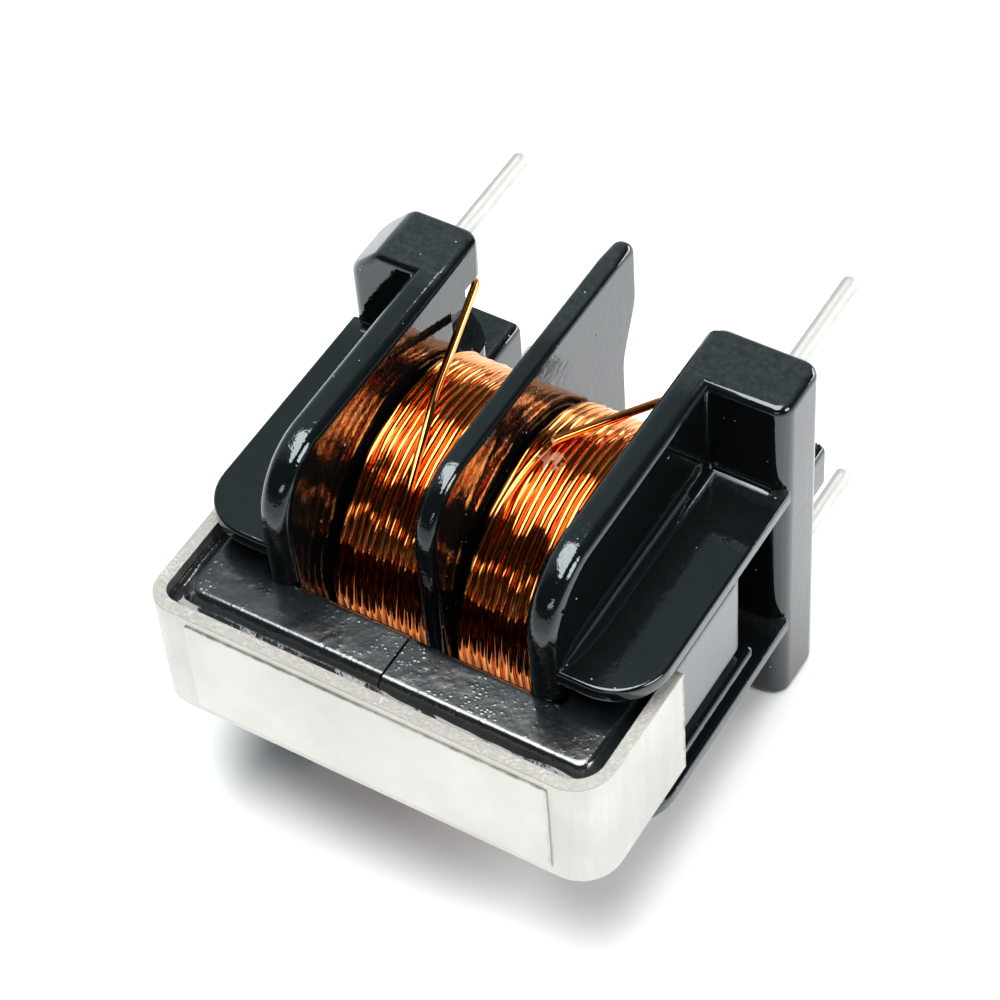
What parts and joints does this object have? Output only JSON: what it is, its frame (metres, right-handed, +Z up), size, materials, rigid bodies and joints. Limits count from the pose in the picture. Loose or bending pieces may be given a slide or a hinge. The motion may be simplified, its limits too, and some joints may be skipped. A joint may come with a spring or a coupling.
{
  "type": "common mode choke",
  "caption": "Common mode choke for a circuit board: copper coils on a divided black bobbin, a ferrite core of U halves, a steel clip band round its front leg and solder pins.",
  "frame": {"origin": "under the middle of the bounding box, on the surface that the part lies on", "axes": "+X along the coils' axis, to the right as seen from the band; +Y the way the pins leave; +Z up, from one long side of the bobbin to the other"},
  "size_m": [0.0172, 0.0214, 0.0151],
  "materials": {
    "bobbin_plastic": "gloss",
    "ferrite": "satin",
    "band_steel": "satin",
    "label_film": "satin",
    "glue": "gloss",
    "enamelled_copper": "gloss",
    "pin_metal": "satin",
    "solder": "satin"
  },
  "bodies": {
    "root": {"bobbin": "bobbin_plastic", "core_half_left": "ferrite", "core_half_right": "ferrite", "clip_band": "band_steel", "band_label": "label_film", "core_adhesive": "glue", "winding_left": "enamelled_copper", "winding_right": "enamelled_copper", "lead_1": "enamelled_copper", "lead_2": "enamelled_copper", "lead_3": "enamelled_copper", "lead_4": "enamelled_copper", "pin_1": "pin_metal", "pin_2": "pin_metal", "pin_3": "pin_metal", "pin_4": "pin_metal", "solder_1": "solder", "solder_2": "solder", "solder_3": "solder", "solder_4": "solder"}
  },
  "joints": []
}
